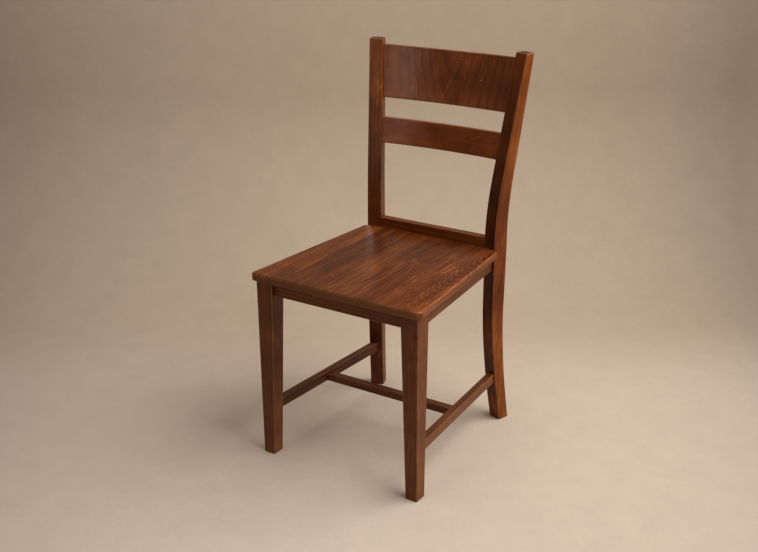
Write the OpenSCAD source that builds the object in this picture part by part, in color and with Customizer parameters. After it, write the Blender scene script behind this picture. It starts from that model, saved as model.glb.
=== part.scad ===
// Solid wood side chair: plank seat, canted back posts, curved crest rail and slat, H stretcher.
// Millimetres, +Z up, the sitter faces -Y, the floor is z = 0, origin under the middle of the box.

/* [Seat] */
// Height of the seat's top above the floor
seat_height = 455; // [430:1:480]
// Thickness of the seat planks
seat_t = 18; // [16:0.5:24]
// Width of the seat at its front edge
seat_front_w = 442; // [440:1:480]
// How far the seat's front edge stands out past the front legs
seat_overhang = 10; // [8:0.5:20]
// Angle at which each side of the seat runs in toward the back
seat_side_angle = 4.7; // [4:0.1:5.6]
// Radius of the seat's corners in plan
seat_corner_r = 12; // [10:0.5:14]
// Radius of the round along the seat's top edge
seat_top_r = 5; // [2:0.5:7]
// Radius of the round along the seat's under edge
seat_under_r = 3; // [1:0.5:5]
// Gap between the seat's back edge and the posts and rail
seat_gap = 0.3; // [0.1:0.1:1]

/* [Front legs] */
// Distance over the outer faces of the two front legs
leg_spread = 421; // [415:1:430]
// Leg width across the chair under the seat
leg_w_top = 42; // [40:1:48]
// Leg depth front to back under the seat
leg_d_top = 44; // [42:1:50]
// Leg width across the chair at the foot
leg_w_foot = 30; // [24:1:34]
// Leg depth front to back at the foot
leg_d_foot = 32; // [28:1:38]
// Bevel round the ends of legs and posts
end_bevel = 2; // [1:0.5:3]

/* [Back posts] */
// Distance over the front outer corners of the posts at the seat
post_spread = 354; // [350:1:364]
// Distance from the legs' front faces back to those corners
post_set = 403; // [390:1:420]
// Height of the post tops above the floor
post_height = 905; // [880:1:940]
// Angle that each post is turned to face the sitter
post_cant = 18.4; // [15:0.1:20]
// Angle between a post's own depth and the plane that it is bent in
post_fan = 7.6; // [5:0.1:9]
// Post width at the seat
post_w_seat = 35; // [33:1:40]
// Post width at the foot
post_w_foot = 34.5; // [30:0.5:36]
// Post width at the top
post_w_top = 34; // [32:1:38]
// Post depth at the seat
post_d_seat = 41; // [38:1:46]
// Post depth at the foot
post_d_foot = 29; // [25:1:32]
// Post depth at the top
post_d_top = 25; // [24:1:30]
// How far the foot of a post sweeps back
foot_sweep = 32; // [20:1:45]
// Height above the floor where that sweep starts
foot_sweep_z = 300; // [260:1:340]
// How far the top of a post leans back
back_rake = 73; // [60:1:85]
// Height above the seat over which the post bends into its lean
bend_rise = 162; // [120:1:190]

/* [Back rails] */
// Height of the crest rail along its face
crest_h = 127; // [110:1:140]
// Thickness of the crest rail
crest_t = 16; // [14:0.5:18]
// Drop from the post tops to the crest rail's top edge
crest_drop = 12; // [6:1:20]
// How far the crest rail sits behind the posts' front faces
crest_set = 6; // [4:0.5:7]
// Height of the slat along its face
slat_h = 63; // [50:1:75]
// Thickness of the slat
slat_t = 16; // [14:0.5:18]
// Open space between the crest rail and the slat
slat_space = 45; // [35:1:60]
// How far the slat sits behind the posts' front faces
slat_set = 4; // [3:0.5:8]
// Radius that the crest rail and the slat curve to
back_r = 540; // [480:5:640]
// Height of the seat rail that joins the posts behind the seat
rail_h = 77; // [70:1:90]
// Thickness of that seat rail
rail_t = 18; // [16:0.5:22]
// How far that seat rail stands above the seat
rail_rise = 24; // [15:1:30]

/* [Aprons] */
// Height of the front and side aprons
apron_h = 35; // [33:1:60]
// Thickness of the aprons
apron_t = 20; // [18:0.5:22]
// How far the front apron sits behind the legs' front faces
front_apron_set = 11; // [9:0.5:12]
// How far a side apron sits in from the leg's outer face
side_apron_set = 10.5; // [8:0.5:12]
// How far a side apron sits in from the post's outer corner
side_apron_post_set = 7; // [5:0.5:8]

/* [Stretchers] */
// Height of the side stretchers' top above the floor
stretcher_top = 130; // [120:1:170]
// Height of a side stretcher
stretcher_h = 24; // [22:1:30]
// Thickness of a side stretcher
stretcher_t = 18; // [16:0.5:20]
// How far a side stretcher sits in from the leg's outer face
stretcher_leg_set = 8; // [6:0.5:9]
// How far a side stretcher sits in from the post's outer corner
stretcher_post_set = 4; // [3:0.5:6]
// Height of the cross stretcher
cross_h = 18; // [16:1:22]
// Width of the cross stretcher front to back
cross_w = 20; // [16:1:24]
// Distance from the legs' front faces back to the cross stretcher's middle
cross_set = 222; // [180:1:260]

/* [Joinery] */
// Diameter of the dowels in the apron joints
dowel_d = 8; // [7:0.5:9]
// Depth of a dowel in a leg
dowel_leg_depth = 16; // [14:1:17]
// Depth of a dowel in a post
dowel_post_depth = 18; // [14:1:20]
// Depth of a dowel in an apron
dowel_apron_depth = 20; // [16:1:26]
// Length of the crest rail's and the slat's tenons
back_tenon_l = 16; // [12:1:20]
// Thickness of those tenons
back_tenon_t = 8; // [7:0.5:9]
// Length of the seat rail's tenons
rail_tenon_l = 16; // [12:1:18]
// Thickness of the seat rail's tenons
rail_tenon_t = 9; // [8:0.5:10]
// Height of the seat rail's tenons
rail_tenon_h = 32; // [26:1:34]
// Length of the stretcher tenons
stretcher_tenon_l = 16; // [12:1:18]
// Thickness of the stretcher tenons
stretcher_tenon_t = 9; // [8:0.5:10]
// Length of the cross stretcher's tenons
cross_tenon_l = 9; // [7:0.5:10]
// Shoulder left above and below a tenon
tenon_shoulder = 4; // [3:0.5:5]
// Clearance round a tenon in its mortise and a dowel in its bore
joint_gap = 0.1; // [0.05:0.05:0.2]
// Free depth past the end of a tenon or a dowel
end_gap = 1; // [0.5:0.5:2]

/* [Corner blocks and screws] */
// Height of the corner blocks
block_h = 30; // [28:1:32]
// Reach of a corner block along an apron, past the leg or post
block_reach = 54; // [46:1:60]
// Shank diameter of the block screws and the seat screws
screw_d = 4.5; // [4:0.5:5]
// Head diameter of those screws
screw_head_d = 9; // [8:0.5:10]
// Head height of those screws
screw_head_h = 3; // [2.5:0.5:4]
// Depth of a block screw in the leg or the post
screw_bite = 15; // [12:1:18]
// Depth of a seat screw in the seat
seat_screw_bite = 11; // [8:0.5:12]
// Width across the drive recess of a screw
screw_drive_w = 3; // [2.5:0.5:4]
// Depth of that recess
screw_drive_h = 1.6; // [1:0.2:2]
// Clearance round a screw in the block
screw_gap = 0.25; // [0.1:0.05:0.4]
// Clearance round a screw where its thread holds
thread_gap = 0.05; // [0.02:0.01:0.1]
// How far a seat screw stands aside from the block screw
seat_screw_aside = 20; // [16:1:22]
// How far a seat screw stands in from the block's long face
seat_screw_in = 9; // [8:0.5:11]

/* [Hidden] */
left = -1;
right = 1;
front = 1;
back = 2;
// Planks glued edge to edge in the seat, one node each
seat_planks = 5;

// Overrun of a cut past the face that it opens
cut = 1;
// Steps of the curved outlines
foot_steps = 10;
bend_steps = 8;
// Power of the curve that sweeps the foot back
foot_power_share = 1.7;
// Heights of the two dowels in an apron joint, as shares of the apron's height
dowel_height_shares = [0.27, 0.75];

// Colours of the pieces
wood_mid = "#7a4023";
wood_dark = "#683319";
wood_light = "#8a4c2a";
wood_raw = "#c9a06a";
steel = "#9a9a98";

// Heights and half widths that several pieces share
under_z = seat_height - seat_t;
apron_z = under_z - apron_h;
leg_x = leg_spread / 2;
post_x = post_spread / 2;
seat_x = seat_front_w / 2;
bend_end_z = seat_height + bend_rise;
stretcher_z = stretcher_top - stretcher_h;
rail_z = seat_height + rail_rise - rail_h;

// A post's lean above the seat: slope of the straight stretch past the bend
lean = back_rake / (post_height - seat_height - bend_rise / 2);
fan_x = sin(post_fan);
fan_y = cos(post_fan);

// Distance that a post has moved back in its own plane at height z
function sweep(z) =
    z < foot_sweep_z ? foot_sweep * pow((foot_sweep_z - z) / foot_sweep_z, foot_power_share) :
    z < seat_height ? 0 :
    z < bend_end_z ? lean * pow(z - seat_height, 2) / (2 * bend_rise) :
    lean * (z - seat_height - bend_rise / 2);
function between(z, a, b, at_0, at_seat, at_top) =
    z < b ? at_0 + (at_seat - at_0) * (z - a) / (b - a) :
    at_seat + (at_top - at_seat) * (z - b) / (post_height - b);
function post_w(z) = between(z, 0, seat_height, post_w_foot, post_w_seat, post_w_top);
function post_d(z) = between(z, 0, seat_height, post_d_foot, post_d_seat, post_d_top);
function post_out(z) = sweep(z) * fan_x;
function post_front(z) = sweep(z) * fan_y;

// Leg sizes at height z: straight beside the aprons, tapered below them
function leg_w(z) = z > apron_z ? leg_w_top : leg_w_foot + (leg_w_top - leg_w_foot) * z / apron_z;
function leg_d(z) = z > apron_z ? leg_d_top : leg_d_foot + (leg_d_top - leg_d_foot) * z / apron_z;

// A point in a post's own frame, x outward and y back, seen from above on the right side
function from_post(p) = [
    post_x + p[0] * cos(post_cant) + p[1] * sin(post_cant),
    post_set - p[0] * sin(post_cant) + p[1] * cos(post_cant)
];
function unit(v) = v / norm(v);
function side_of(v) = [-v[1], v[0]];
function flip(p) = [-p[0], p[1]];

// Where lines meet: p + t * u crosses the line through q along v
function meet(p, u, q, v) = p + u * ((q - p) * side_of(v)) / (u * side_of(v));

// Plan points at the seat, right side
post_inner = from_post([-post_w_seat, 0]);
post_outer = from_post([0, 0]);
post_across = unit(post_outer - post_inner);
rail_y = post_inner[1];

// Side apron: outer and inner faces as lines from the leg to the post
side_apron_a = [leg_x - side_apron_set, leg_d_top];
side_apron_b = post_outer - post_across * side_apron_post_set;
side_apron_u = unit(side_apron_b - side_apron_a);
side_apron_in = side_of(side_apron_u);
side_apron_mid = side_apron_a + side_apron_in * apron_t / 2;

// Side stretcher: the same, at its own height
stretcher_mid_z = stretcher_z + stretcher_h / 2;
stretcher_a = [leg_x - stretcher_leg_set, leg_d(stretcher_mid_z)];
stretcher_b = from_post([post_out(stretcher_mid_z) - stretcher_post_set, post_front(stretcher_mid_z)]);
stretcher_u = unit(stretcher_b - stretcher_a);
stretcher_in = side_of(stretcher_u);
stretcher_mid = stretcher_a + stretcher_in * stretcher_t / 2;

// Seat outline: corner circles, then the run along the posts
seat_front_y = -seat_overhang;
seat_side_u = [-sin(seat_side_angle), cos(seat_side_angle)];
seat_side_out = [cos(seat_side_angle), sin(seat_side_angle)];
seat_side_p = [seat_x, seat_front_y];
post_line_p = post_inner - side_of(post_across) * seat_gap;
seat_front_c = meet([0, seat_front_y + seat_corner_r], [1, 0],
    seat_side_p - seat_side_out * seat_corner_r, seat_side_u);
seat_back_c = meet(post_line_p - side_of(post_across) * seat_corner_r, post_across,
    seat_side_p - seat_side_out * seat_corner_r, seat_side_u);
seat_back_t = seat_back_c + side_of(post_across) * seat_corner_r;
seat_inner_p = meet(post_line_p, post_across, [0, rail_y - seat_gap], [1, 0]);

// Corner block corners, front right and back right
front_apron_back = front_apron_set + apron_t;
apron_inner_p = side_apron_a + side_apron_in * apron_t;
front_block_q = [leg_x - leg_w_top, leg_d_top];
front_block = [
    [front_block_q[0] - block_reach, front_apron_back],
    [front_block_q[0], front_apron_back],
    front_block_q,
    meet(front_block_q, [1, 0], apron_inner_p, side_apron_u),
    meet(front_block_q, [1, 0], apron_inner_p, side_apron_u) + side_apron_u * block_reach
];
back_block_c = meet(post_inner, post_across, apron_inner_p, side_apron_u);
back_block = [
    [post_inner[0] - block_reach, rail_y],
    back_block_c - side_apron_u * block_reach,
    back_block_c,
    post_inner
];
// Each block: one end of its long face, the direction along it, and the point that its screw aims at
function block_start(end) = end == front ? front_block[0] : back_block[0];
function block_along(end) = end == front ? unit(front_block[4] - front_block[0]) :
    unit(back_block[1] - back_block[0]);
function block_aim(end) = end == front ? front_block_q : (post_inner + back_block_c) / 2;
function block_foot(end) = block_start(end) +
    block_along(end) * ((block_aim(end) - block_start(end)) * block_along(end));
function block_in(end) = unit(block_aim(end) - block_foot(end));
function seat_screw_at(end) = block_foot(end) + block_in(end) * seat_screw_in +
    block_along(end) * (end == front ? -seat_screw_aside : seat_screw_aside);
block_z = under_z - block_h;
// The block screws run midway between the two rows of dowels
screw_z = apron_z + apron_h * (dowel_height_shares[0] + dowel_height_shares[1]) / 2;

// Crest rail and slat: middle heights and the pivot where their faces meet the posts
back_tilt = atan(lean * cos(post_cant + post_fan));
post_tilt = atan(lean * fan_y);
crest_mid_z = post_height - crest_drop - crest_h * cos(back_tilt) / 2;
slat_mid_z = crest_mid_z - (crest_h * cos(back_tilt) + slat_h * cos(back_tilt)) / 2 - slat_space;
function back_end(z, set) = from_post([post_out(z) - post_w(z), post_front(z) + set]);
function back_sag(end) = back_r - sqrt(back_r * back_r - end[0] * end[0]);

// The box runs from the seat's front edge to the crest rail's back
crest_end = back_end(crest_mid_z, crest_set);
crest_back_y = crest_end[1] + (back_sag(crest_end) + crest_t) * cos(back_tilt) +
    crest_h / 2 * sin(back_tilt);
mid_y = (seat_front_y + crest_back_y) / 2;

// Places everything in the part's frame, and makes the left side from the right one
module place(side = right) {
    translate([0, -mid_y, 0]) {
        if (side == right) children();
        else mirror([1, 0, 0]) children();
    }
}

// Draws its children on the right side and again on the left
module both_sides() {
    children();
    mirror([1, 0, 0]) children();
}

// A post's own frame on the right side
module post_frame() {
    translate([post_x, post_set, 0]) rotate([0, 0, -post_cant]) children();
}

// A bar along u, with its section centred on the line through p
module bar(p, u, start, end, thick, z, h) {
    translate([p[0], p[1], 0]) rotate([0, 0, atan2(u[1], u[0])])
        translate([start, -thick / 2, z]) cube([end - start, thick, h]);
}

// Outline in width or depth against height, with bevelled ends: low and high edges as functions
module side_outline(low, high) {
    n = len(low) - 1;
    polygon(concat(
        [[low[0][0] + end_bevel, low[0][1] - end_bevel]], low,
        [[low[n][0] + end_bevel, low[n][1] + end_bevel]],
        [[high[n][0] - end_bevel, high[n][1] + end_bevel]], [for (i = [n:-1:0]) high[i]],
        [[high[0][0] - end_bevel, high[0][1] - end_bevel]]
    ));
}

// Solid whose front view is one outline and whose side view is another
module two_views(span) {
    intersection() {
        translate([0, span, 0]) rotate([90, 0, 0]) linear_extrude(2 * span) children(0);
        translate([-span, 0, 0]) rotate([90, 0, 90]) linear_extrude(2 * span) children(1);
    }
}

// Heights at which a post's outline has points
post_zs = concat(
    [end_bevel],
    [for (i = [1:foot_steps]) foot_sweep_z * i / foot_steps],
    [seat_height],
    [for (i = [1:bend_steps]) seat_height + bend_rise * i / bend_steps],
    [post_height - end_bevel]
);

// Back post without its mortises, in its own frame: canted, swept at the foot, raked at the top
module post_blank() {
    two_views(post_spread) {
        side_outline([for (z = post_zs) [post_out(z) - post_w(z), z]],
            [for (z = post_zs) [post_out(z), z]]);
        side_outline([for (z = post_zs) [post_front(z), z]],
            [for (z = post_zs) [post_front(z) + post_d(z), z]]);
    }
}

// Front leg without its mortises: outer and front faces upright, the other two tapered
leg_zs = [end_bevel, apron_z, under_z - end_bevel];
module leg_blank() {
    translate([leg_x, 0, 0]) two_views(leg_spread) {
        side_outline([for (z = leg_zs) [-leg_w(z), z]], [for (z = leg_zs) [0, z]]);
        side_outline([for (z = leg_zs) [0, z]], [for (z = leg_zs) [leg_d(z), z]]);
    }
}

// One dowel, or its bore when gap is set, centred on the joint face at p along u
module dowel(p, u, z, first, second, gap = 0, more = 0) {
    translate([p[0], p[1], z]) rotate([0, 0, atan2(u[1], u[0])]) rotate([0, 90, 0])
        translate([0, 0, -first - more])
            cylinder(h = first + second + 2 * more, d = dowel_d + 2 * gap, $fn = 32);
}

// All the dowels of one side, or their bores
module side_dowels(gap = 0, more = 0) {
    for (share = dowel_height_shares) {
        z = apron_z + apron_h * share;
        dowel([front_block_q[0], front_apron_set + apron_t / 2], [1, 0], z,
            dowel_apron_depth, dowel_leg_depth, gap, more);
        dowel(meet(side_apron_mid, side_apron_u, [leg_x, leg_d_top], [1, 0]), side_apron_u, z,
            dowel_leg_depth, dowel_apron_depth, gap, more);
        dowel(meet(side_apron_mid, side_apron_u, post_inner, post_across), side_apron_u, z,
            dowel_apron_depth, dowel_post_depth, gap, more);
    }
}

// Tenon of the crest rail or the slat at the right post, or its mortise when gap is set
module back_tenon(mid_z, h, thick, set, gap = 0, more = 0) {
    root = 2 * back_tenon_l;
    post_frame() translate([post_out(mid_z) - post_w(mid_z), post_front(mid_z) + set + thick / 2, mid_z])
        rotate([-post_tilt, 0, 0])
            translate([-root, -back_tenon_t / 2 - gap, -h / 2 + 2 * tenon_shoulder - gap])
                cube([root + back_tenon_l + more, back_tenon_t + 2 * gap, h - 4 * tenon_shoulder + 2 * gap]);
}

// Tenon of the seat rail at the right post, or its mortise: it sits above the apron's dowels
rail_tenon_z = seat_height + rail_rise - tenon_shoulder - rail_tenon_h;
module rail_tenon(gap = 0, more = 0) {
    end_x = meet([0, rail_y + rail_t / 2], [1, 0], post_inner, side_of(post_across))[0];
    translate([0, rail_y + (rail_t - rail_tenon_t) / 2 - gap, rail_tenon_z - gap])
        cube([end_x + rail_tenon_l + more, rail_tenon_t + 2 * gap, rail_tenon_h + 2 * gap]);
}

// Tenons of a side stretcher, or their mortises
stretcher_l = norm(stretcher_b - stretcher_a);
module stretcher_tenons(gap = 0, more = 0) {
    bar(stretcher_mid, stretcher_u, -stretcher_tenon_l - more, stretcher_l + stretcher_tenon_l + more,
        stretcher_tenon_t + 2 * gap, stretcher_z + tenon_shoulder - gap,
        stretcher_h - 2 * tenon_shoulder + 2 * gap);
}

// Tenon of the cross stretcher at the right side stretcher, or its mortise
cross_end = meet([0, cross_set], [1, 0], stretcher_a + stretcher_in * stretcher_t, stretcher_u)[0];
module cross_tenon(gap = 0, more = 0) {
    translate([0, cross_set - cross_w / 2 + tenon_shoulder - gap, stretcher_z + tenon_shoulder - gap])
        cube([cross_end + cross_tenon_l + more, cross_w - 2 * tenon_shoulder + 2 * gap,
            cross_h - 2 * tenon_shoulder + 2 * gap]);
}

// Screw with a round head and a square drive recess, head at the origin and tip along +Z
module screw(shank_l) {
    difference() {
        union() {
            translate([0, 0, -screw_head_h]) cylinder(h = screw_head_h, d = screw_head_d, $fn = 32);
            cylinder(h = shank_l, d = screw_d, $fn = 32);
        }
        translate([-screw_drive_w / 2, -screw_drive_w / 2, -screw_head_h - cut])
            cube([screw_drive_w, screw_drive_w, screw_drive_h + cut]);
    }
}

// Runs its children along a block screw's line, which starts at the block's long face
module along_block_screw(end) {
    foot = block_foot(end);
    dir = block_in(end);
    translate([foot[0], foot[1], screw_z])
        rotate([0, 0, atan2(dir[1], dir[0])]) rotate([0, 90, 0]) children();
}
function block_screw_l(end) = norm(block_aim(end) - block_foot(end)) + screw_bite;
module block_screw_bore(end, gap) {
    along_block_screw(end) translate([0, 0, -cut])
        cylinder(h = block_screw_l(end) + end_gap + cut, d = screw_d + 2 * gap, $fn = 32);
}
module seat_screw_bore(end, gap) {
    at = seat_screw_at(end);
    translate([at[0], at[1], block_z - cut])
        cylinder(h = cut + block_h + seat_screw_bite + end_gap, d = screw_d + 2 * gap, $fn = 32);
}

// Section of a seat corner from its centre outward, both edges rounded
module seat_corner_section() {
    square([seat_corner_r - seat_top_r, seat_t]);
    translate([0, seat_under_r]) square([seat_corner_r, seat_t - seat_top_r - seat_under_r]);
    translate([seat_corner_r - seat_top_r, seat_t - seat_top_r]) intersection() {
        circle(r = seat_top_r, $fn = 32);
        square(seat_top_r);
    }
    square([seat_corner_r - seat_under_r, seat_under_r]);
    translate([seat_corner_r - seat_under_r, seat_under_r]) intersection() {
        circle(r = seat_under_r, $fn = 24);
        translate([0, -seat_under_r]) square(seat_under_r);
    }
}

// The whole seat, drawn round its four rounded corners and square at the back
module seat_blank() {
    translate([0, 0, under_z]) hull() {
        linear_extrude(seat_t) polygon([seat_back_t, seat_inner_p, flip(seat_inner_p), flip(seat_back_t)]);
        for (c = [seat_front_c, seat_back_c, flip(seat_back_c), flip(seat_front_c)])
            translate([c[0], c[1], 0]) rotate_extrude($fn = 32) seat_corner_section();
    }
}

// One plank of the seat, counted from the left
module seat_plank(i) {
    w = seat_front_w / seat_planks;
    color(i % 2 == 0 ? wood_mid : wood_light) place() difference() {
        intersection() {
            seat_blank();
            translate([-seat_x + (i - 1) * w, seat_front_y - cut, under_z - cut])
                cube([w, rail_y - seat_front_y + 2 * cut, seat_t + 2 * cut]);
        }
        for (end = [front, back]) both_sides() seat_screw_bore(end, thread_gap);
    }
}

// Tapered front leg with bores for the apron dowels and the block screw, and the stretcher's mortise
module front_leg(side) {
    color(wood_mid) place(side) difference() {
        leg_blank();
        side_dowels(joint_gap, end_gap);
        stretcher_tenons(joint_gap, end_gap);
        block_screw_bore(front, thread_gap);
    }
}

// Back post in one piece from foot to top, with the mortises of all that it carries
module back_post(side) {
    color(wood_mid) place(side) difference() {
        post_frame() post_blank();
        side_dowels(joint_gap, end_gap);
        stretcher_tenons(joint_gap, end_gap);
        rail_tenon(joint_gap, end_gap);
        back_tenon(crest_mid_z, crest_h, crest_t, crest_set, joint_gap, end_gap);
        back_tenon(slat_mid_z, slat_h, slat_t, slat_set, joint_gap, end_gap);
        block_screw_bore(back, thread_gap);
    }
}

// Everything past a post's inner face between two heights at which that face is flat
module past_post(low_z, high_z) {
    post_frame() translate([0, post_spread, 0]) rotate([90, 0, 0]) linear_extrude(2 * post_spread) polygon([
        [post_out(low_z) - post_w(low_z), low_z], [post_spread, low_z],
        [post_spread, high_z], [post_out(high_z) - post_w(high_z), high_z]
    ]);
}

// Curved board between the posts, cut to their inner faces, with a tenon at each end
module back_board(mid_z, h, thick, set) {
    end = back_end(mid_z, set);
    span = end[0] + post_w_seat;
    reach = h / 2 + thick;
    difference() {
        translate([0, end[1], mid_z]) rotate([-back_tilt, 0, 0]) intersection() {
            translate([0, back_sag(end) - back_r, -h / 2]) difference() {
                cylinder(h = h, r = back_r + thick, $fn = 360);
                translate([0, 0, -cut]) cylinder(h = h + 2 * cut, r = back_r, $fn = 360);
            }
            translate([-span, -span, -h]) cube([2 * span, 2 * span, 2 * h]);
        }
        both_sides() past_post(mid_z - reach, mid_z + reach);
    }
    both_sides() back_tenon(mid_z, h, thick, set);
}

// Wide curved rail at the top of the back
module crest_rail() {
    color(wood_dark) place() back_board(crest_mid_z, crest_h, crest_t, crest_set);
}

// Narrow curved slat below it
module back_slat() {
    color(wood_dark) place() back_board(slat_mid_z, slat_h, slat_t, slat_set);
}

// Straight rail behind the seat, deep enough to close the frame below it
module seat_rail() {
    color(wood_dark) place() {
        difference() {
            translate([-post_x, rail_y, rail_z]) cube([post_spread, rail_t, rail_h]);
            both_sides() past_post(rail_z - cut, rail_z + rail_h + cut);
        }
        both_sides() rail_tenon();
    }
}

// Apron between the front legs
module front_apron() {
    color(wood_mid) place() difference() {
        translate([-front_block_q[0], front_apron_set, apron_z])
            cube([2 * front_block_q[0], apron_t, apron_h]);
        both_sides() side_dowels(joint_gap, end_gap);
    }
}

// Apron from a front leg to a post, its back end cut to the post's turned face
module side_apron(side) {
    color(wood_light) place(side) difference() {
        bar(side_apron_mid, side_apron_u, -apron_t, post_set, apron_t, apron_z, apron_h);
        translate([0, 0, apron_z - cut]) cube([seat_front_w, leg_d_top, apron_h + 2 * cut]);
        post_frame() translate([-post_spread, 0, apron_z - cut])
            cube([2 * post_spread, post_spread, apron_h + 2 * cut]);
        side_dowels(joint_gap, end_gap);
    }
}

// Stretcher from a front leg to a post, shouldered to both and tenoned into them
module side_stretcher(side) {
    color(wood_light) place(side) difference() {
        union() {
            difference() {
                bar(stretcher_mid, stretcher_u, -stretcher_tenon_l, stretcher_l + stretcher_tenon_l,
                    stretcher_t, stretcher_z, stretcher_h);
                leg_blank();
                post_frame() post_blank();
            }
            stretcher_tenons();
        }
        cross_tenon(joint_gap, end_gap);
    }
}

// Stretcher across the chair between the two side stretchers
module cross_stretcher() {
    color(wood_mid) place() {
        difference() {
            translate([-cross_end - cross_w, cross_set - cross_w / 2, stretcher_z])
                cube([2 * (cross_end + cross_w), cross_w, cross_h]);
            both_sides()
                bar(stretcher_mid - stretcher_in * cross_w, stretcher_u, 0, stretcher_l,
                    stretcher_t + 2 * cross_w, stretcher_z - cut, stretcher_h + 2 * cut);
        }
        both_sides() cross_tenon();
    }
}

// Block glued and screwed into a corner of the seat frame
module corner_block(side, end) {
    color(wood_raw) place(side) difference() {
        translate([0, 0, block_z]) linear_extrude(block_h) polygon(end == front ? front_block : back_block);
        block_screw_bore(end, screw_gap);
        seat_screw_bore(end, screw_gap);
    }
}

// The dowels of all four frame corners
module apron_dowels() {
    color(wood_raw) for (side = [right, left]) place(side) side_dowels();
}

// Screws that draw each corner block to its leg or post
module block_screws() {
    color(steel) for (side = [right, left], end = [front, back])
        place(side) along_block_screw(end) screw(block_screw_l(end));
}

// Screws that go up through the corner blocks and hold the seat
module seat_screws() {
    color(steel) for (side = [right, left], end = [front, back]) {
        at = seat_screw_at(end);
        place(side) translate([at[0], at[1], block_z]) screw(block_h + seat_screw_bite);
    }
}

seat_plank(1);  // seat_plank_1
seat_plank(2);  // seat_plank_2
seat_plank(3);  // seat_plank_3
seat_plank(4);  // seat_plank_4
seat_plank(5);  // seat_plank_5
front_leg(left);  // front_leg_left
front_leg(right);  // front_leg_right
back_post(left);  // back_post_left
back_post(right);  // back_post_right
crest_rail();
back_slat();
seat_rail();
front_apron();
side_apron(left);  // side_apron_left
side_apron(right);  // side_apron_right
side_stretcher(left);  // side_stretcher_left
side_stretcher(right);  // side_stretcher_right
cross_stretcher();
corner_block(left, front);  // corner_block_front_left
corner_block(right, front);  // corner_block_front_right
corner_block(left, back);  // corner_block_back_left
corner_block(right, back);  // corner_block_back_right
apron_dowels();
block_screws();
seat_screws();
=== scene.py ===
import math

import bpy
import numpy as np
from mathutils import Matrix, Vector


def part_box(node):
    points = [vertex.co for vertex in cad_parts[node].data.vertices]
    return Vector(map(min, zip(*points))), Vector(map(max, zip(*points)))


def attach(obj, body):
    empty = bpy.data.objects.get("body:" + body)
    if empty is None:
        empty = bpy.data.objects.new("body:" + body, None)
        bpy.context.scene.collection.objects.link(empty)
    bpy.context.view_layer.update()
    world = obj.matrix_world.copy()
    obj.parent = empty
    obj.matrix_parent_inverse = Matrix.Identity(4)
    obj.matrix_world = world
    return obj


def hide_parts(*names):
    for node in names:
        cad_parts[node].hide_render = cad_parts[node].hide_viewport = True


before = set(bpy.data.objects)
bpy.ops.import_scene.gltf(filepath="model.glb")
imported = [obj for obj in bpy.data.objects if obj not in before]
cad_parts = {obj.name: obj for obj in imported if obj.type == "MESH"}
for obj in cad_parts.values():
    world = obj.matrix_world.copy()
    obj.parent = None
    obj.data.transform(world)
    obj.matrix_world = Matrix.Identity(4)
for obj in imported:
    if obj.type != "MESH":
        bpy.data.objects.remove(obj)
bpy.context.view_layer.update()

# Front legs. Two solid legs, upright on their outer and front faces and tapered on the two inner
# ones below the aprons. Their arrises are eased by hand and the feet bevelled so that they slide.
# Lengths are in metres; y runs back from the legs' front faces, which lie at front_y in the frame.
front_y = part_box("front_leg_left")[0].y
sides = {"left": -1.0, "right": 1.0}
seat_top = 0.455
seat_thick = 0.018
under_seat = seat_top - seat_thick
apron_high = 0.035
apron_low = under_seat - apron_high
leg_x = 0.2105
leg_w = (0.030, 0.042)
leg_d = (0.032, 0.044)
arris = 0.0018
foot_ease = 0.002


def section(width, depth, ease, steps=4, support=0.0012):
    """Rounded rectangles centred on zero, one for each width: at each corner a quarter circle of
    the easing, with one more point on the flat, support away, beside each of its ends. The mask of
    wear and painted highlight is 1 at mid corner."""
    turn = np.linspace(0, math.pi / 2, steps + 1)
    quarter = np.arange(4)[:, None] * math.pi / 2
    angle = (np.r_[0, turn, math.pi / 2] + quarter).ravel()
    corner = np.repeat([[1, 1], [-1, 1], [-1, -1], [1, -1]], steps + 3, axis=0)
    slide = np.tile(np.r_[-1, np.zeros(steps + 1), 1], 4)
    arc = np.stack([np.cos(angle), np.sin(angle)], 1)
    along = np.stack([-np.sin(angle), np.cos(angle)], 1) * slide[:, None] * support
    half = np.stack([width, depth], 1)[:, None] / 2
    ease = np.broadcast_to(ease, width.shape)[:, None, None]
    return corner * (half - ease) + arc * ease + along, np.tile(np.r_[0, np.sin(2 * turn), 0], 4)


def stations(low, high, ease, low_end=True, high_end=True, steps=4, middle=26):
    """Places from low to high along a member, and how far the section is drawn in at each: a
    quarter circle of the easing at a finished end, even steps between."""
    turn = np.linspace(math.pi / 2, 0, steps + 1)
    drop, inset = ease * (1 - np.sin(turn)), ease * (1 - np.cos(turn))
    first = (low + drop, inset) if low_end else (np.array([low]), np.zeros(1))
    last = (high - drop[::-1], inset[::-1]) if high_end else (np.array([high]), np.zeros(1))
    body = np.linspace(first[0][-1], last[0][0], middle)[1:-1]
    return np.r_[first[0], body, last[0]], np.r_[first[1], np.zeros(middle - 2), last[1]]


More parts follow.
